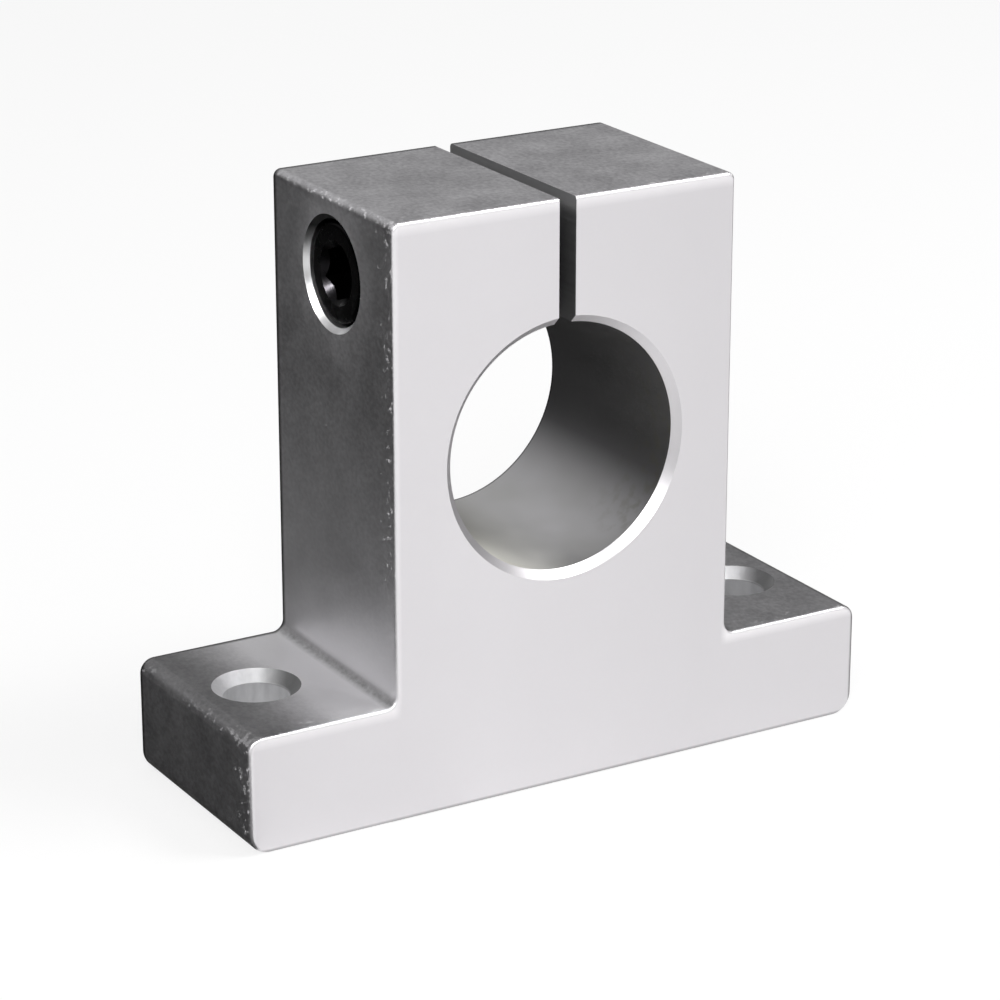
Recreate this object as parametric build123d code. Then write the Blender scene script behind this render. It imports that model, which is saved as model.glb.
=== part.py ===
from build123d import *
import os
from math import cos, isclose, radians, tan

# A clamp block that holds the end of a round shaft above a machine bed. The block is one length of
# aluminium extrusion, an upside-down T, and a socket screw across its slot closes it on the shaft.
# Millimetres. The shaft runs along Y, the foot stands on Z = 0, and the origin is under the middle.

# Shaft seat
bore_diameter = 25.0
bore_chamfer = 0.8
shaft_height = 35.0  # underside of the foot to the middle of the shaft
block_depth = 24.0  # length of extrusion that is cut off
cheek = 6.5  # metal on each side of the bore
slot_width = 1.8

# Foot
foot_thickness = 12.0
bolt_hole_diameter = 6.6
bolt_mouth_chamfer = 1.1
bolt_to_neck = 9.0  # middle of a bolt hole to the side of the neck
bolt_to_end = 7.0  # middle of a bolt hole to the end of the foot

# Corners of the extrusion, and the broken edges of its two sawn faces
neck_top_round = 0.8
foot_top_round = 1.5
foot_bottom_round = 2.2
inner_round = 1.2
edge_break = 0.4

# Clamp screw, M6 by 25 with a hexagon socket
screw_diameter = 6.0
head_diameter = 10.0
head_height = 6.0
head_round = 0.5
neck_fillet = 0.25  # under the head
tip_chamfer = 0.6
socket_width = 5.0  # across the flats of the hexagon
socket_depth = 3.0
socket_flare = 0.3  # how far the mouth's countersink passes the hexagon's corners
socket_point_angle = 30.0  # slope of the socket's pointed floor
socket_turn = 20.0  # how far the hexagon stands turned at rest

# How the screw sits in the block
wall_over_bore = 1.5  # metal between the bore and the screw's hole
wall_over_head = 2.3  # metal between the head's recess and the top of the block
head_sink = 0.5  # face of the head below the side of the neck
tip_setback = 6.5  # tip of the screw short of the far side of the neck
head_clearance = 0.4
shank_clearance = 0.3
thread_clearance = 0.05
recess_chamfer = 0.4
tapped_chamfer = 0.3

# Places that follow from the sizes above
bore_radius = bore_diameter / 2
half_neck = bore_radius + cheek
bolt_x = half_neck + bolt_to_neck
half_foot = bolt_x + bolt_to_end
screw_radius = screw_diameter / 2
head_radius = head_diameter / 2
shank_hole_radius = screw_radius + shank_clearance
recess_radius = head_radius + head_clearance
recess_depth = head_height + head_sink
screw_height = shaft_height + bore_radius + wall_over_bore + shank_hole_radius
block_height = screw_height + recess_radius + wall_over_head
screw_length = 2 * half_neck - recess_depth - tip_setback

from_base = (Align.CENTER, Align.CENTER, Align.MIN)


def drill(radius, length, entry=0.0, exit=0.0):
    """A round cutter up from the origin, flared at 45 degrees where it goes in and comes out."""
    cutter = Cylinder(radius, length, align=from_base)
    if entry > 0:
        cutter += Cone(radius + entry, radius, entry, align=from_base)
    if exit > 0:
        cutter += Pos(0, 0, length - exit) * Cone(radius, radius + exit, exit, align=from_base)
    return cutter


def corners(outline, half_width, height):
    """The two corners of the outline at this height, one on each side."""
    return [
        v for v in outline.vertices()
        if isclose(abs(v.X), half_width, abs_tol=1e-6) and isclose(v.Y, height, abs_tol=1e-6)
    ]


def outline():
    """Section of the extrusion: foot and neck in one, with rounded corners."""
    middle_base = (Align.CENTER, Align.MIN)
    section = Rectangle(2 * half_foot, foot_thickness, align=middle_base)
    section += Rectangle(2 * half_neck, block_height, align=middle_base)
    section = fillet(corners(section, half_foot, 0), foot_bottom_round)
    section = fillet(corners(section, half_foot, foot_thickness), foot_top_round)
    section = fillet(corners(section, half_neck, foot_thickness), inner_round)
    return fillet(corners(section, half_neck, block_height), neck_top_round)


def extrusion():
    """The sawn length of extrusion, with the edges of both sawn faces broken."""
    body = extrude(Plane.XZ * outline(), amount=block_depth / 2, both=True)
    sawn_faces = body.faces().filter_by(Axis.Y)
    return chamfer([edge for face in sawn_faces for edge in face.edges()], edge_break)


def shaft_bore():
    start = Plane((0, -block_depth / 2, shaft_height), z_dir=(0, 1, 0))
    return start * drill(bore_radius, block_depth, bore_chamfer, bore_chamfer)


def clamp_slot():
    """Saw cut from the bore up through the top of the block."""
    above_shaft = block_height - shaft_height
    return Pos(0, 0, shaft_height) * Box(slot_width, block_depth, above_shaft, align=from_base)


def bolt_holes():
    hole = drill(bolt_hole_diameter / 2, foot_thickness, edge_break, bolt_mouth_chamfer)
    return [Pos(side * bolt_x, 0, 0) * hole for side in (-1, 1)]


def screw_passage():
    """Across the neck: a recess for the head, a clear hole to the slot and a tapped hole beyond it."""
    near_side = Plane((-half_neck, 0, screw_height), z_dir=(1, 0, 0))
    recess = near_side * drill(recess_radius, recess_depth, recess_chamfer)
    clear_hole = near_side * drill(shank_hole_radius, half_neck)
    slot_middle = Plane((0, 0, screw_height), z_dir=(1, 0, 0))
    tapped_hole = slot_middle * drill(screw_radius + thread_clearance, half_neck, 0, tapped_chamfer)
    return [recess, clear_hole, tapped_hole]


def support_block():
    body = extrusion() - shaft_bore() - clamp_slot()
    for cutter in bolt_holes() + screw_passage():
        body -= cutter
    return body


def hexagon_socket():
    """Cutter for the key's hexagon, down from the origin, with a countersunk mouth and a pointed floor."""
    flat = socket_width / 2
    corner = flat / cos(radians(30))
    point = flat * tan(radians(socket_point_angle))
    to_mouth = (Align.CENTER, Align.CENTER, Align.MAX)
    hexagon = extrude(RegularPolygon(corner, 6, rotation=socket_turn), amount=-socket_depth)
    mouth = corner + socket_flare
    countersink = Cone(0, mouth, mouth, align=to_mouth)
    floor = Pos(0, 0, -socket_depth) * Cone(0, flat, point, align=to_mouth)
    return hexagon + countersink + floor


def clamp_screw():
    """Socket screw, tip to +X, with the underside of its head on the floor of the recess."""
    head = fillet(
        Cylinder(head_radius, head_height, align=from_base).edges().sort_by(Axis.Z)[-1], head_round
    )
    shank = chamfer(
        Cylinder(screw_radius, screw_length, align=from_base).edges().sort_by(Axis.Z)[0], tip_chamfer
    )
    screw = shank + Pos(0, 0, screw_length) * head
    under_head = [
        edge for edge in screw.edges().filter_by(GeomType.CIRCLE)
        if isclose(edge.radius, screw_radius) and isclose(edge.center().Z, screw_length)
    ]
    screw = fillet(under_head, neck_fillet)
    screw -= Pos(0, 0, screw_length + head_height) * hexagon_socket()
    tip = Plane((half_neck - tip_setback, 0, screw_height), x_dir=(0, 1, 0), z_dir=(-1, 0, 0))
    return tip * screw


os.makedirs("parts", exist_ok=True)
export_step(support_block(), "parts/support_block.step")
export_step(clamp_screw(), "parts/clamp_screw.step")
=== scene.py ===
from math import atan2, cos, hypot, pi, radians, sin, tan

import bmesh
import bpy
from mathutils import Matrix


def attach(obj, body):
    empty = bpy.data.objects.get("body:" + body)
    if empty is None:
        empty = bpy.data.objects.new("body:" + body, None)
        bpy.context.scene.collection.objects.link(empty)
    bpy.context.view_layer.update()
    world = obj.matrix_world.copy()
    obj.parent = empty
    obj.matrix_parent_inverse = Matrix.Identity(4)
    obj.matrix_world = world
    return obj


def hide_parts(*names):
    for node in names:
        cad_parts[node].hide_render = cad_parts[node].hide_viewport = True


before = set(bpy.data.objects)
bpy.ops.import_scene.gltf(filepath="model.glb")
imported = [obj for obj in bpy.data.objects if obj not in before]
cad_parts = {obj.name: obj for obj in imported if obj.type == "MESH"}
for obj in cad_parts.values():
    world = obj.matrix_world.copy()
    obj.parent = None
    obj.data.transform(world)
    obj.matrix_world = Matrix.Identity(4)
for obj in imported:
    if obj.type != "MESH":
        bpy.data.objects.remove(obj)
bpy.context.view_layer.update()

# Support block
# One length of extruded aluminium, an upside-down T, sawn off and milled on its front and back.
# The shaft's bore, the bolt holes and the screw's passage are drilled, and a saw cut from the bore
# up through the top parts it into two jaws. Its edges are broken or lightly tumbled.

mm = 0.001
block_depth = 24 * mm
half_depth = block_depth / 2
half_foot = 35 * mm
foot_thickness = 12 * mm
half_neck = 19 * mm
block_height = 60 * mm
shaft_height = 35 * mm
bore_radius = 12.5 * mm
bore_chamfer = 0.8 * mm
slot_width = 1.8 * mm
half_slot = slot_width / 2
bolt_x = 28 * mm
bolt_hole_radius = 3.3 * mm
bolt_mouth_chamfer = 1.1 * mm
edge_break = 0.4 * mm
tumbled_edge = 0.1 * mm
screw_height = 52.3 * mm
recess_radius = 5.3 * mm
recess_chamfer = 0.5 * mm
recess_depth = 6.5 * mm
shank_hole_radius = 3.3 * mm
tapped_hole_radius = 3.05 * mm
tapping_radius = 2.5 * mm  # the drilled hole before its thread is cut
tapped_mouth = 0.85 * mm
empty_thread = 13 * mm  # where the thread past the screw's tip starts
thread_pitch = 1 * mm
past = 0.2 * mm  # how far a cutter runs past the face that it leaves


class Wire:
    """An output of a node. Arithmetic on it adds Math nodes to the material it belongs to."""

    def __init__(self, tree, socket=None):
        self.tree = tree
        self.socket = socket

    def node(self, kind, inputs, output=0, **settings):
        """Add a node: its settings first, then the values or links of its inputs."""
        made = self.tree.nodes.new("ShaderNode" + kind)
        for name, value in settings.items():
            setattr(made, name, value)
        for key, value in inputs.items():
            if isinstance(value, Wire):
                self.tree.links.new(value.socket, made.inputs[key])
            else:
                made.inputs[key].default_value = value
        return Wire(self.tree, made.outputs[output] if made.outputs else None)

    def maths(self, operation, first, second=0.0):
        return self.node("Math", {0: first, 1: second}, operation=operation)

    def __add__(self, other):
        return self.maths("ADD", self, other)

    __radd__ = __add__

    def __sub__(self, other):
        return self.maths("SUBTRACT", self, other)

    def __rsub__(self, other):
        return self.maths("SUBTRACT", other, self)

    def __mul__(self, other):
        return self.maths("MULTIPLY", self, other)

    __rmul__ = __mul__


def larger(first, second):
    return first.maths("MAXIMUM", first, second)


def smaller(first, second):
    return first.maths("MINIMUM", first, second)


def new_material(name):
    """An empty material, and a wire to build its nodes with."""
    material = bpy.data.materials.new(name)
    material.use_nodes = True
    material.node_tree.nodes.clear()
    return material, Wire(material.node_tree)


def new_finish(name):
    """A new material, and a wire to where each of its points lies on the piece."""
    material, wire = new_material(name)
    return material, wire.node("TexCoord", {}, output="Object")


def surface(colour, roughness, relief, metallic):
    """Close a material with its metal shader."""
    inputs = {"Base Color": colour, "Roughness": roughness, "Normal": relief, "Metallic": metallic}
    colour.node("OutputMaterial", {"Surface": colour.node("BsdfPrincipled", inputs)})


def coordinate(place, axis):
    """One coordinate of a place, by the axis's letter."""
    return place.node("SeparateXYZ", {0: place}, output=axis)


def noise(place, scale, detail=2.0, roughness=0.5, distortion=0.0):
    """Even noise about 0.5, at so many patches to the metre along each axis."""
    grid = place.node("VectorMath", {0: place, 1: scale}, operation="MULTIPLY")
    shape = {"Scale": 1.0, "Detail": detail, "Roughness": roughness, "Distortion": distortion}
    return place.node("TexNoise", {"Vector": grid} | shape)


def spread(value, low, high, to_low=0.0, to_high=1.0):
    """Stretch low..high over to_low..to_high, held at both ends."""
    return value.node("MapRange", {0: value, 1: low, 2: high, 3: to_low, 4: to_high}, clamp=True)


def band(value, low, full, ebb, high):
    """A mask that rises from low to full, and falls again from ebb to high."""
    return spread(value, low, full) * spread(value, ebb, high, 1, 0)


def blend(mask, first, second):
    """A colour between two others, each a wire or its red, green and blue."""
    first, second = (shade if isinstance(shade, Wire) else (*shade, 1) for shade in (first, second))
    return mask.node("Mix", {0: mask, 6: first, 7: second}, output=2, data_type="RGBA")


def bumped(height, distance):
    return height.node("Bump", {"Height": height, "Distance": distance, "Strength": 1.0})


# The extruded skin: etched matt and finely flecked, with faint die lines. Small pale chips show along
# the front edges and the left rounds. Painted light makes the neck's left side paler low down, where
# it faces the foot's top, and a little near its top. Painted shade darkens the inner corners, the far
# edges and both ends of the foot's top.
skin, place = new_finish("etched aluminium skin")
x, y, z = (coordinate(place, axis) for axis in "XYZ")
from_left_end = x + half_foot
from_left_side = x + half_neck
beside_neck = x.maths("ABSOLUTE", x) - half_neck
over_foot = z - foot_thickness
under_top = block_height - z
dull_etch = (0.56, 0.55, 0.57)
pale_etch = (0.88, 0.87, 0.89)
# the colour of the painted light on the neck's left side
lit_etch = (0.96, 0.95, 0.97)
# the colour of the painted shade
painted_shade = (0.02, 0.02, 0.02)
mottle = noise(place, (230, 230, 230), 3.0, 0.55)
flecks = noise(place, (2300, 1700, 2300), 3.0, 0.6)
die_lines = noise(place, (2600, 40, 2600))

foot_round = spread(over_foot, -1.3 * mm, -0.7 * mm) * spread(from_left_end, 0.6 * mm, 1.4 * mm, 1, 0)
neck_round = spread(under_top, 0.5 * mm, 0.8 * mm, 1, 0) * spread(from_left_side, 0.3 * mm, 0.7 * mm, 1, 0)
near_edge = spread(y + half_depth, 0.6 * mm, 4 * mm, 0.45, 0)
wear_and_painted_light = near_edge + (foot_round + neck_round) * 0.6
chips = spread(noise(place, (1700, 1700, 1700), 2.0, 0.6) + wear_and_painted_light * 0.28, 0.72, 0.80)

# Painted light on the neck's left side: paler low down, where it faces the foot's top, and a little near its
# top.
near_foot = spread(over_foot, 2 * mm, 29 * mm, 0.95, 0)
near_top = band(under_top, 0.5 * mm, 1 * mm, 6 * mm, 14 * mm) * 0.3
left_side = spread(beside_neck, 5 * mm, 11 * mm, 1, 0) * spread(x, 0, 5 * mm, 1, 0)
painted_light = (near_foot + near_top) * left_side

# Painted shade in the inner corners, along the far edges and at both ends of the foot's top.
inner_corner = spread(beside_neck, 0.3 * mm, 1.1 * mm, 1, 0) * spread(over_foot, 0.2 * mm, 0.9 * mm, 1, 0)
far_edge = spread(half_depth - y, 0.5 * mm, 1 * mm, 1, 0)
foot_top = band(over_foot, -1.2 * mm, -0.2 * mm, 0.3 * mm, 2 * mm)
foot_ends = spread(from_left_end, 3 * mm, 10 * mm, 1, 0) + spread(x, 5 * mm, 10 * mm, 0, 0.7)
shade_mask = larger(inner_corner * (0.2 + flecks), far_edge) * 0.85
shade_mask = larger(shade_mask, foot_top * foot_ends * 0.62)

tone = spread(mottle, 0.3, 0.7) * 0.45 + spread(flecks, 0.36, 0.64) * 0.55
colour = blend(painted_light, blend(tone, dull_etch, pale_etch), lit_etch)
colour = blend(shade_mask, colour, painted_shade)
roughness = 0.30 + mottle * 0.10 + flecks * 0.08 + painted_light * 0.12
relief = bumped(flecks * 0.8 + die_lines * 0.4 + mottle * 0.6, 0.006 * mm)
surface(colour, roughness, relief, 0.98 - chips * 0.5)

# The sawn faces, milled flat and even to a lilac grey, with painted shade that makes it a little darker
# to the right. Painted highlights brighten the top and left edges, and painted shade darkens the bottom
# and right ones.
milled, place = new_finish("milled aluminium face")
x, z = (coordinate(place, axis) for axis in "XZ")
beside_neck = x.maths("ABSOLUTE", x) - half_neck
over_foot = z - foot_thickness
dull_lilac = (0.752, 0.734, 0.755)
pale_lilac = (0.771, 0.753, 0.774)
# the colour of the painted highlights
highlight_lilac = (0.98, 0.96, 0.98)
cloud = noise(place, (70, 70, 70))
grain = noise(place, (3200, 3200, 3200), 2.0, 0.6)

# Painted highlights along the top and left edges.
foot_lip = band(over_foot, -1.3 * mm, -0.3 * mm, 0.4 * mm, 1.2 * mm)
foot_lip = foot_lip * spread(beside_neck, -0.6 * mm, 0.2 * mm)
top_lip = spread(block_height - z, 0.3 * mm, 1.4 * mm, 1, 0)
neck_lip = spread(x + half_neck, 0.2 * mm, 0.7 * mm, 0.7, 0) * spread(over_foot, 0, 1.5 * mm)
left_end = spread(x + half_foot, 0.2 * mm, 0.7 * mm, 0.7, 0)
wear_and_painted_light = smaller(foot_lip + top_lip + neck_lip + left_end, 1)

# Painted shade along the right end and the bottom.
right_end = spread(half_foot - x, 0.2 * mm, 0.5 * mm, 0.8, 0)
bottom = spread(z, 0.2 * mm, 0.5 * mm, 0.5, 0)
shade_mask = larger(right_end, bottom)

colour = blend(spread(cloud * 0.6 + grain * 0.4, 0.3, 0.7), dull_lilac, pale_lilac)
# Painted shade, a little darker to the right.
colour = blend(spread(x, -8 * mm, 16 * mm, 0, 0.07), colour, (0, 0, 0))
colour = blend(wear_and_painted_light * 0.8, colour, highlight_lilac)
colour = blend(shade_mask, colour, painted_shade)
surface(colour, 0.40 + grain * 0.06, bumped(grain, 0.003 * mm), 0.95)

# The reamed bore, with fine rings round it and soft smudges. It is bright along its floor; painted shade
# makes it dull above, where little light reaches, and dark along its far rim. It has brown spots to the
# right by its mouth and a stain of cutting oil low on the left.
bored, place = new_finish("reamed aluminium wall")
x, y, z = (coordinate(place, axis) for axis in "XYZ")
over_shaft = z - shaft_height
bright_ream = (0.95, 0.94, 0.96)
smudged_ream = (0.84, 0.835, 0.83)
# the colour of the painted shade above
shaded_ream = (0.30, 0.295, 0.305)
dried_oil = (0.92, 0.91, 0.80)
brown_spot = (0.30, 0.29, 0.22)
smudge = noise(place, (150, 90, 150))
rings = noise(place, (80, 1500, 80))
# Painted shade on the bore's wall above, where little light reaches.
painted_shade_above = spread(over_shaft, -13 * mm, -5 * mm)
spots = spread(noise(place, (800, 800, 800)), 0.5, 0.66)
spots = spots * spread(x, 6 * mm, 9 * mm) * spread(y + half_depth, 1 * mm, 10 * mm, 1, 0)
stain = spread(x + smudge * (6 * mm), -6 * mm, 6 * mm, 1, 0) * spread(over_shaft, -10 * mm, -1 * mm, 1, 0)
# Painted shade along the far rim of the bore.
far_edge = spread(half_depth - y, 0.85 * mm, 1.1 * mm, 1, 0)
colour = blend(spread(smudge, 0.35, 0.65), bright_ream, smudged_ream)
colour = blend(painted_shade_above, colour, shaded_ream)
colour = blend(stain, colour, dried_oil)
colour = blend(spots * 0.4, colour, brown_spot)
colour = blend(far_edge * 0.9, colour, painted_shade)
surface(colour, 0.28 + smudge * 0.12 + painted_shade_above * 0.10, bumped(rings + smudge, 0.003 * mm), 1.0 - stain * 0.8)

# Holes for the bolts and the thread: open metal that the drill has torn a little. Painted shade darkens
# the mouths of the bolt holes on the side to the right and front, and the right hole a little all over.
drilled, place = new_finish("drilled aluminium wall")
x, y, z = (coordinate(place, axis) for axis in "XYZ")
dull_cut = (0.64, 0.64, 0.65)
bright_cut = (0.88, 0.88, 0.89)
# the colour of the painted shade
shade_black = (0.05, 0.05, 0.05)
torn = noise(place, (1400, 1400, 500), 2.0, 0.5, 0.3)
# Painted shade on the right and front side of each bolt hole's mouth, and a little over the right hole.
from_hole = x - x.maths("SIGN", x) * bolt_x
shadowed = spread(from_hole * 0.86 - y * 0.51, -0.6 * mm, 2.8 * mm)
shadowed = shadowed * spread(z - foot_thickness, -1.3 * mm, -1 * mm)
right_hole = spread(x - bolt_x, -4 * mm, -3.5 * mm)
colour = blend(shadowed * 0.75, blend(torn, dull_cut, bright_cut), shade_black)
colour = blend(right_hole * 0.15, colour, shade_black)
surface(colour, 0.38 + torn * 0.2, bumped(torn, 0.02 * mm), 0.75)

# The screw's recess, cut by a flat-bottomed tool that leaves its wall smooth and its mouth bright.
# Painted shadow blackens its top, under the rim.
counterbored, place = new_finish("counterbored aluminium")
z = coordinate(place, "Z")
dull_mouth = (0.74, 0.74, 0.75)
bright_mouth = (0.90, 0.90, 0.91)
# the colour of the painted shadow
shadow_black = (0.01, 0.01, 0.01)
chatter = noise(place, (2400, 500, 500), 2.0, 0.5, 0.2)
# Painted shadow at the top of the recess, under its rim.
shadowed = spread(z - screw_height, 1.7 * mm, 3.9 * mm, 0, 0.9)
colour = blend(shadowed, blend(chatter, dull_mouth, bright_mouth), shadow_black)
surface(colour, 0.26 + chatter * 0.16, bumped(chatter, 0.006 * mm), 1.0)

# The saw cut, with the blade's scratches along it. Painted light makes it paler where it comes out at
# the top.
sawn, place = new_finish("saw-cut aluminium")
z = coordinate(place, "Z")
dull_saw = (0.30, 0.30, 0.305)
bright_saw = (0.40, 0.40, 0.405)
# the colour of the painted light at the top
lit_saw = (0.80, 0.79, 0.80)
scratches = noise(place, (200, 120, 3800))
# Painted light near the top of the cut.
wear_and_painted_light = spread(block_height - z, 1 * mm, 2 * mm, 1, 0) * 0.2
colour = blend(wear_and_painted_light, blend(scratches, dull_saw, bright_saw), lit_saw)
surface(colour, 0.36 + scratches * 0.16, bumped(scratches, 0.01 * mm), 0.95 - wear_and_painted_light)


def edit(piece):
    """Open a piece in edit mode with nothing selected."""
    bpy.ops.object.select_all(action="DESELECT")
    piece.select_set(True)
    bpy.context.view_layer.objects.active = piece
    bpy.ops.object.mode_set(mode="EDIT")
    bpy.ops.mesh.select_all(action="DESELECT")


def close_edit():
    bpy.ops.object.mode_set(mode="OBJECT")


def pick_faces(piece, wanted):
    """Select just the faces that the test accepts by their middle and normal."""
    bpy.ops.mesh.select_mode(type="FACE")
    bpy.ops.mesh.select_all(action="DESELECT")
    mesh = bmesh.from_edit_mesh(piece.data)
    for face in mesh.faces:
        face.select_set(wanted(face.calc_center_median(), face.normal))
    bmesh.update_edit_mesh(piece.data)


def pick_edges(piece, wanted):
    """Select just the edges that the test accepts by their two ends."""
    bpy.ops.mesh.select_mode(type="EDGE")
    bpy.ops.mesh.select_all(action="DESELECT")
    mesh = bmesh.from_edit_mesh(piece.data)
    for edge in mesh.edges:
        edge.select_set(wanted(*(corner.co for corner in edge.verts)))
    bmesh.update_edit_mesh(piece.data)


def refinish(piece, slot, wanted):
    """Give the faces that the test accepts the finish in one of the piece's slots."""
    pick_faces(piece, wanted)
    piece.active_material_index = slot
    bpy.ops.object.material_slot_assign()


def near(a, b):
    return abs(a - b) < 0.001 * mm


def lay(piece, place=(0, 0, 0), turn=(0, 0, 0)):
    """Turn a piece, put it in its place, and settle both into its mesh."""
    piece.location = place
    piece.rotation_euler = turn
    bpy.ops.object.select_all(action="DESELECT")
    piece.select_set(True)
    bpy.context.view_layer.objects.active = piece
    bpy.ops.object.transform_apply(location=True, rotation=True, scale=True)
    return piece


def turned(name, material, stations, sides, place=(0, 0, 0), turn=(0, 0, 0)):
    """A solid of revolution from (height, radius) stations, then laid in its place."""
    (height, radius), *rest = stations
    bpy.ops.object.select_all(action="DESELECT")
    bpy.ops.mesh.primitive_circle_add(
        vertices=sides, radius=radius, fill_type="NGON", location=(0, 0, 0), enter_editmode=True
    )
    piece = bpy.context.object
    piece.name = name
    bpy.ops.transform.translate(value=(0, 0, height))
    for next_height, next_radius in rest:
        bpy.ops.mesh.extrude_region_move(TRANSFORM_OT_translate={"value": (0, 0, next_height - height)})
        if next_radius > 0:
            scale = next_radius / radius
            bpy.ops.transform.resize(value=(scale, scale, 1), center_override=(0, 0, next_height))
            radius = next_radius
        else:
            bpy.ops.mesh.merge(type="CENTER")
        height = next_height
    bpy.ops.mesh.select_all(action="SELECT")
    bpy.ops.mesh.normals_make_consistent(inside=False)
    close_edit()
    piece.data.materials.append(material)
    return lay(piece, place, turn)


def combine(piece, tool, operation="DIFFERENCE"):
    """Cut or intersect a piece with a tool, which is used up."""
    bpy.ops.object.select_all(action="DESELECT")
    bpy.context.view_layer.objects.active = piece
    modifier = piece.modifiers.new(operation, "BOOLEAN")
    modifier.object = tool
    modifier.operation = operation
    modifier.solver = "EXACT"
    modifier.material_mode = "TRANSFER"
    bpy.ops.object.modifier_apply(modifier=modifier.name)
    bpy.data.objects.remove(tool)


def box(name, material, low, high):
    """A box between two corners, with its place in its mesh."""
    bpy.ops.object.select_all(action="DESELECT")
    bpy.ops.mesh.primitive_cube_add(size=1)
    piece = bpy.context.object
    piece.name = name
    piece.scale = [b - a for a, b in zip(low, high)]
    lay(piece, [(a + b) / 2 for a, b in zip(low, high)])
    piece.data.materials.append(material)
    return piece


def worm(name, material, section, start, turns, steps):
    """A thread's coil round the screw's axis: a closed section of (radius, length) swept along X."""
    bpy.ops.object.select_all(action="DESELECT")
    bpy.ops.mesh.primitive_circle_add(vertices=len(section), radius=mm, fill_type="NOTHING")
    coil = bpy.context.object
    coil.name = name
    for corner, (radius, length) in zip(coil.data.vertices, section):
        corner.co = (radius, 0, length)
    screw = coil.modifiers.new("coil", "SCREW")
    screw.axis = "Z"
    screw.angle = 2 * pi
    screw.screw_offset = thread_pitch
    screw.iterations = turns
    screw.steps = screw.render_steps = steps
    screw.use_merge_vertices = False
    bpy.ops.object.modifier_apply(modifier=screw.name)
    edit(coil)
    bpy.ops.mesh.select_mode(type="EDGE")
    bpy.ops.mesh.select_non_manifold(extend=False)
    bpy.ops.mesh.edge_face_add()
    bpy.ops.mesh.select_all(action="SELECT")
    bpy.ops.mesh.normals_make_consistent(inside=False)
    close_edit()
    coil.data.materials.append(material)
    return lay(coil, (start, 0, screw_height), along_x)


def clean(piece):
    """Close up the slivers that cutting leaves."""
    edit(piece)
    bpy.ops.mesh.select_all(action="SELECT")
    bpy.ops.mesh.dissolve_degenerate(threshold=0.001 * mm)
    close_edit()


def shade(piece, angle):
    """Smooth across gentle edges, with flat faces kept flat."""
    bpy.ops.object.select_all(action="DESELECT")
    piece.select_set(True)
    bpy.context.view_layer.objects.active = piece
    bpy.ops.object.shade_smooth_by_angle(angle=radians(angle))
    modifier = piece.modifiers.new("flat faces", "WEIGHTED_NORMAL")
    modifier.keep_sharp = True
    modifier.weight = 100
    bpy.ops.object.modifier_apply(modifier=modifier.name)


along_x = (0, pi / 2, 0)
along_y = (-pi / 2, 0, 0)
milled_slot = 1  # the blank's second finish, after its skin

# The blank: the foot, and the neck drawn up out of its middle.
block = box("support_block_body", skin, (-half_foot, -half_depth, 0), (half_foot, half_depth, foot_thickness))
edit(block)
for side in (-half_neck, half_neck):
    bpy.ops.mesh.select_all(action="SELECT")
    bpy.ops.mesh.bisect(plane_co=(side, 0, 0), plane_no=(1, 0, 0))
pick_faces(block, lambda middle, normal: normal.z > 0.9 and abs(middle.x) < half_neck)
bpy.ops.mesh.extrude_region_move(TRANSFORM_OT_translate={"value": (0, 0, block_height - foot_thickness)})
bpy.ops.mesh.select_all(action="SELECT")
bpy.ops.mesh.dissolve_limited(angle_limit=radians(1))

# The rounds that the die gives its eight corners: half width, height, radius and number of flats.
die_rounds = [
    (half_foot, 0, 2.2 * mm, 12),
    (half_foot, foot_thickness, 1.5 * mm, 10),
    (half_neck, foot_thickness, 1.2 * mm, 10),
    (half_neck, block_height, 0.8 * mm, 8),
]
for half_width, height, radius, flats in die_rounds:
    pick_edges(block, lambda a, b: (
        near(a.x, b.x) and near(abs(a.x), half_width) and near(a.z, height) and near(b.z, height)
    ))
    bpy.ops.mesh.bevel(offset=radius, segments=flats, profile=0.5, affect="EDGES")

# Both cut faces take the milled finish, and their edges are broken.
block.data.materials.append(milled)
refinish(block, milled_slot, lambda middle, normal: abs(normal.y) > 0.9)
for side in (-half_depth, half_depth):
    pick_edges(block, lambda a, b: near(a.y, side) and near(b.y, side))
    bpy.ops.mesh.bevel(offset=edge_break, segments=4, profile=0.5, affect="EDGES")
close_edit()

# The shaft's bore. The chamfer of its mouths is milled as the faces are.
flare = bore_radius + bore_chamfer + past
combine(block, turned("bore", bored, [
    (-half_depth - past, flare),
    (bore_chamfer - half_depth, bore_radius),
    (half_depth - bore_chamfer, bore_radius),
    (half_depth + past, flare),
], sides=160, place=(0, 0, shaft_height), turn=along_y))
edit(block)
refinish(block, milled_slot, lambda middle, normal: (
    0.6 < abs(normal.y) < 0.8 and hypot(middle.x, middle.z - shaft_height) < flare
))
close_edit()

# The saw cut between the jaws.
slot_start = (-half_slot, -half_depth - past, shaft_height)
slot_end = (half_slot, half_depth + past, block_height + past)
combine(block, box("saw cut", sawn, slot_start, slot_end))

# The bolt holes, chamfered from above and lightly broken below.
for side in (-bolt_x, bolt_x):
    combine(block, turned("bolt hole", drilled, [
        (-past, bolt_hole_radius + edge_break + past),
        (edge_break, bolt_hole_radius),
        (foot_thickness - bolt_mouth_chamfer, bolt_hole_radius),
        (foot_thickness + past, bolt_hole_radius + bolt_mouth_chamfer + past),
    ], sides=72, place=(side, 0, 0)))

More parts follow.
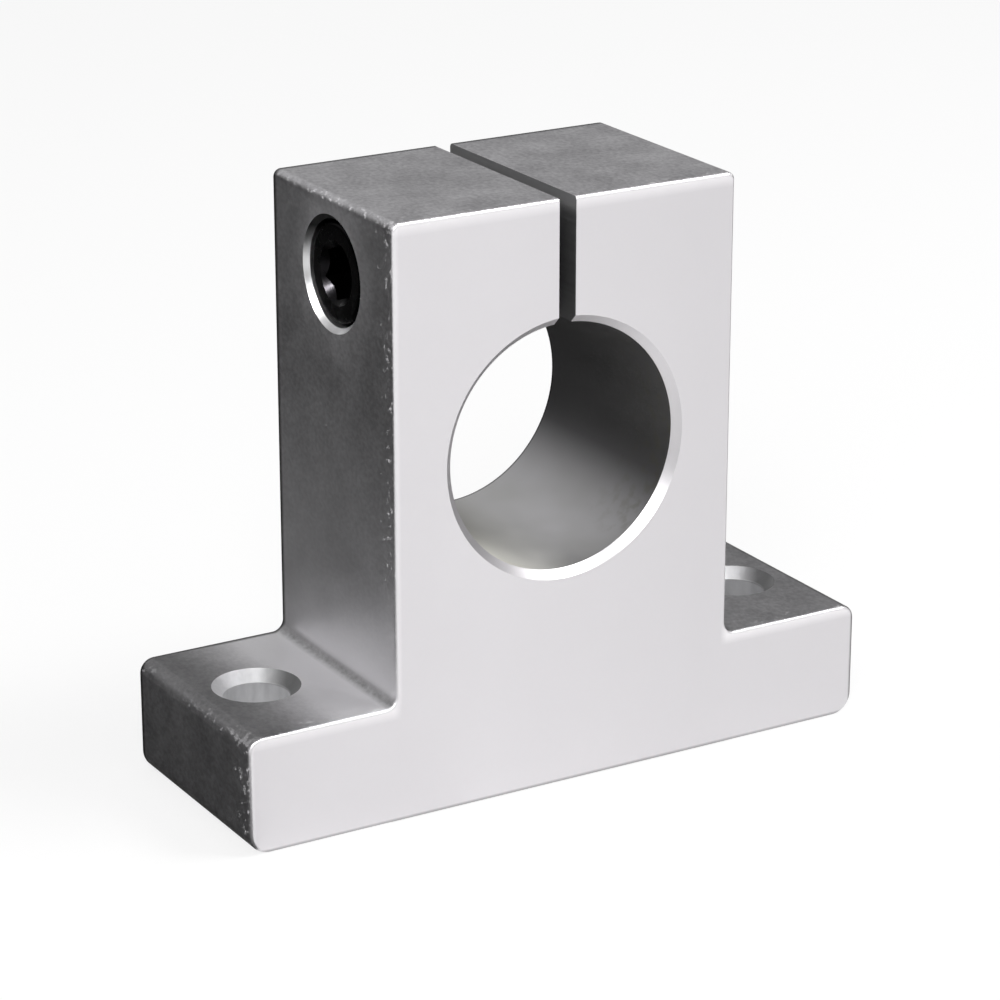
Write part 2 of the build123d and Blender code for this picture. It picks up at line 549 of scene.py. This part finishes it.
# The screw's passage: a flat-bottomed recess and a clear hole up to the slot, and a tapped hole
# beyond it. Past the screw's tip the thread is empty and shows from the side.
combine(block, turned("recess", counterbored, [
    (-half_neck - past, recess_radius + recess_chamfer + past),
    (recess_chamfer - half_neck, recess_radius),
    (recess_depth - half_neck, recess_radius),
    (recess_depth - half_neck, shank_hole_radius),
    (0, shank_hole_radius),
], sides=96, place=(0, 0, screw_height), turn=along_x))
combine(block, turned("tapped hole", drilled, [
    (0, tapped_hole_radius),
    (empty_thread, tapped_hole_radius),
    (empty_thread + 0.3 * mm, tapping_radius),
    (half_neck - tapped_mouth, tapping_radius),
    (half_neck + past, tapping_radius + tapped_mouth + past),
], sides=48, place=(0, 0, screw_height), turn=along_x))

# The square edges that the cutters leave are tumbled, and then the thread is tapped.
edit(block)
bpy.ops.mesh.select_mode(type="EDGE")
bpy.ops.mesh.edges_select_sharp(sharpness=radians(50))
bpy.ops.mesh.bevel(offset=tumbled_edge, segments=2, profile=0.5, affect="EDGES")
close_edit()
tap_core = 2.42 * mm
half_tooth = 0.45 * mm
half_tooth_tip = 0.09 * mm
combine(block, worm("empty thread", drilled, [
    (tap_core, -half_tooth),
    (tapped_hole_radius, -half_tooth_tip),
    (tapped_hole_radius, half_tooth_tip),
    (tap_core, half_tooth),
], start=empty_thread - 0.4 * mm, turns=7, steps=44))
clean(block)
shade(block, angle=30)

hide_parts("support_block")
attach(block, "block")

# Clamp screw
# A hexagon socket screw, M6 by 25, of blackened high-strength steel. Its head is cold formed with a
# straight knurl, the key's hexagon is broached, and the thread is rolled. It pulls the jaws together.

screw_radius = 3 * mm
screw_length = 25 * mm
tip_chamfer = 0.6 * mm
neck_fillet = 0.25 * mm  # under the head
head_radius = 5 * mm
head_height = 6 * mm
head_break = 0.25 * mm  # round the underside of the head
head_round = 0.5 * mm
head_seat = recess_depth - half_neck  # underside of the head, on the recess's floor
knurl_radius = 5.04 * mm
knurl_groove = 0.962  # bottom of a groove as a part of that radius
socket_flat = 2.5 * mm
socket_corner = socket_flat / cos(radians(30))
socket_depth = 3 * mm
socket_flare = 0.3 * mm
socket_point = socket_flat * tan(radians(30))
socket_turn = 20

blackened, place = new_finish("blackened steel")
dry_black = (0.005, 0.005, 0.006)
oiled_black = (0.016, 0.015, 0.016)
grain = noise(place, (2600, 2600, 2600), 3.0, 0.6)
oil = noise(place, (500, 500, 500), 2.0, 0.5, 0.4)
relief = bumped(grain + oil * 0.8, 0.006 * mm)
surface(blend(oil, dry_black, oiled_black), 0.16 + oil * 0.22, relief, 1.0)

# Head and shank are one turned blank: tip with its chamfer, shank, fillet under the head, rounded rim.
tip = [(-screw_length, screw_radius - tip_chamfer), (tip_chamfer - screw_length, screw_radius)]
fillet = [
    (neck_fillet * (sin(angle) - 1), screw_radius + neck_fillet * (1 - cos(angle)))
    for angle in (radians(22.5 * step) for step in range(5))
]
underside = [(0, head_radius - head_break), (head_break, head_radius)]
rim = [
    (head_height + head_round * (sin(angle) - 1), head_radius + head_round * (cos(angle) - 1))
    for angle in (radians(15 * step) for step in range(7))
]
screw = turned("clamp_screw_body", blackened, tip + fillet + underside + rim, sides=96)

# The knurl: every other corner of a ring is drawn in, and the ring trims the head to its ridges.
bpy.ops.object.select_all(action="DESELECT")
bpy.ops.mesh.primitive_circle_add(vertices=96, radius=knurl_radius, fill_type="NGON", location=(0, 0, 0))
knurl = bpy.context.object
edit(knurl)
bpy.ops.mesh.select_mode(type="VERT")
ring = bmesh.from_edit_mesh(knurl.data)
for corner in ring.verts:
    corner.select_set(corner.index % 2 == 0)
bpy.ops.transform.resize(value=(knurl_groove, knurl_groove, 1), center_override=(0, 0, 0))
bpy.ops.mesh.select_all(action="SELECT")
bpy.ops.transform.translate(value=(0, 0, -screw_length - past))
whole_length = screw_length + head_height + 2 * past
bpy.ops.mesh.extrude_region_move(TRANSFORM_OT_translate={"value": (0, 0, whole_length)})
bpy.ops.mesh.select_all(action="SELECT")
bpy.ops.mesh.normals_make_consistent(inside=False)
close_edit()
knurl.data.materials.append(blackened)
combine(screw, lay(knurl, turn=(0, 0, radians(1))), "INTERSECT")

# The key's hexagon, its countersunk mouth and its pointed floor.
combine(screw, turned("hexagon", blackened, [
    (head_height - socket_depth, socket_corner),
    (head_height + past, socket_corner),
], sides=6, turn=(0, 0, radians(socket_turn))))
mouth = socket_corner + socket_flare
combine(screw, turned("countersink", blackened, [
    (head_height + past, mouth + past),
    (head_height - mouth, 0),
], sides=72))
combine(screw, turned("socket floor", blackened, [
    (head_height - socket_depth + past, socket_flat),
    (head_height - socket_depth, socket_flat),
    (head_height - socket_depth - socket_point, 0),
], sides=48))

# It is laid with its head to -X, and the thread is rolled up to just under the head.
lay(screw, (head_seat, 0, screw_height), (0, -pi / 2, 0))
thread_root = 2.387 * mm
outside_shank = 3.06 * mm
half_groove_floor = 0.083 * mm
half_groove_mouth = 0.47 * mm
combine(screw, worm("thread groove", blackened, [
    (thread_root, -half_groove_floor),
    (thread_root, half_groove_floor),
    (outside_shank, half_groove_mouth),
    (outside_shank, -half_groove_mouth),
], start=head_seat + 1.3 * mm, turns=25, steps=36))
clean(screw)
shade(screw, angle=35)

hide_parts("clamp_screw")
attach(screw, "screw")

# Floor and light
# A plain white table top in a pale room. Soft lamps stand to the left, in front, overhead and behind,
# and a fine beam picks out the screw's socket. A dark sheet that only the metal mirrors is painted shade
# on the table around the block.

bpy.ops.object.select_all(action="DESELECT")
bpy.ops.mesh.primitive_plane_add(size=6, location=(0, 0, 0))
floor = bpy.context.object
floor.name = "floor"
white, wire = new_material("white table top")
camera_ray, glossy_ray, clear_ray = (
    wire.node("LightPath", {}, output=f"Is {kind} Ray") for kind in ("Camera", "Glossy", "Transmission")
)
seen = smaller(camera_ray + glossy_ray + clear_ray, 1.0)
matt = wire.node("BsdfDiffuse", {"Color": (0.86, 0.86, 0.86, 1)})
glow = wire.node("Emission", {"Color": (1, 1, 1, 1), "Strength": 1.02})
wire.node("OutputMaterial", {"Surface": wire.node("MixShader", {0: seen * 0.75, 1: matt, 2: glow})})
floor.data.materials.append(white)

# The card is painted shade on the table, seen only in the metal's reflections. It is cut round the
# block: it lies to the left, behind and to the right, is thin behind the left end, and fades out in front.
card_reach = 3000 * mm
card_front = -60 * mm
bpy.ops.object.select_all(action="DESELECT")
bpy.ops.mesh.primitive_plane_add(size=1, location=(0, 0, 0))
card = bpy.context.object
card.name = "dark card"
card.scale = (2 * card_reach, card_reach - card_front, 1)
lay(card, (0, (card_reach + card_front) / 2, 0.1 * mm))
card_face, place = new_finish("dark card")
x, y = (coordinate(place, axis) for axis in "XY")
beside = spread(x, -34.5 * mm, -34 * mm, 1, 0) * spread(y, card_front, -20 * mm)
behind = spread(y, 16 * mm, 36 * mm)
right = spread(x, 37 * mm, 40 * mm) * spread(y, -12 * mm, -4 * mm)
thin = band(x, -80 * mm, -50 * mm, -48 * mm, -40 * mm) * spread(y, 40 * mm, 60 * mm)
covered = (1 - (1 - beside) * (1 - behind) * (1 - right)) * (1 - thin * 0.15)
bare = place.node("BsdfTransparent", {})
dark = place.node("BsdfDiffuse", {"Color": (0.03, 0.03, 0.03, 1)})
place.node("OutputMaterial", {"Surface": place.node("MixShader", {0: covered, 1: bare, 2: dark})})
card.data.materials.append(card_face)
card.visible_camera = card.visible_diffuse = card.visible_shadow = card.visible_transmission = False

# The room grows lighter with height, and is plain white where the camera sees it.
world = bpy.context.scene.world or bpy.data.worlds.new("room")
bpy.context.scene.world = world
world.use_nodes = True
world.node_tree.nodes.clear()
wire = Wire(world.node_tree)
direction = wire.node("TexCoord", {}, output="Generated")
light = spread(coordinate(direction, "Z"), 0.10, 0.50, 0.03, 0.42)
room = wire.node("Background", {"Color": (1, 1, 1, 1), "Strength": light})
backdrop = wire.node("Background", {"Color": (1, 1, 1, 1), "Strength": 1.0})
camera_ray = wire.node("LightPath", {}, output="Is Camera Ray")
wire.node("OutputWorld", {"Surface": wire.node("MixShader", {0: camera_ray, 1: room, 2: backdrop})})


def lamp(name, place, aim, size, watts, beam=180):
    """A soft lamp that points at a spot on the object, its light held to a beam of so many degrees."""
    bpy.ops.object.select_all(action="DESELECT")
    across, ahead, up = (b - a for a, b in zip(place, aim))
    turn = (atan2(hypot(across, ahead), -up), 0, atan2(-across, ahead))
    bpy.ops.object.light_add(type="AREA", location=place, rotation=turn)
    made = bpy.context.object
    made.name = name
    made.data.shape = "RECTANGLE"
    made.data.size, made.data.size_y = size
    made.data.energy = watts
    made.data.spread = radians(beam)


middle = (0, 0, 0.03)
screw_head = (-half_neck, 0, screw_height)
lamp("left lamp", (-0.45, -0.60, 0.60), middle, (0.4, 0.4), 5)
lamp("front lamp", (0.55, -0.80, 0.40), middle, (1.3, 1.3), 2.8)
lamp("overhead lamp", (0.34, -0.22, 0.60), middle, (0.24, 0.24), 2.4)
lamp("screw lamp", (-0.62, -0.08, 0.50), screw_head, (0.008, 0.008), 0.0005, 1)
lamp("back lamp", (0.1, 1.2, 0.25), middle, (0.6, 0.3), 0.5)

# Camera
# A long lens, turned to the block's left and looking a little down on it.

camera_place = (-0.1733, -0.2924, 0.1475)
look_down = 19.66
look_right = 30.6
bpy.ops.object.camera_add(
    location=camera_place, rotation=(radians(90 - look_down), 0, radians(-look_right))
)
camera = bpy.context.object
camera.data.lens = 130.0
camera.data.sensor_width = 36.0
camera.data.clip_start = 0.01
bpy.context.scene.camera = camera
bpy.context.scene.view_settings.view_transform = "Standard"
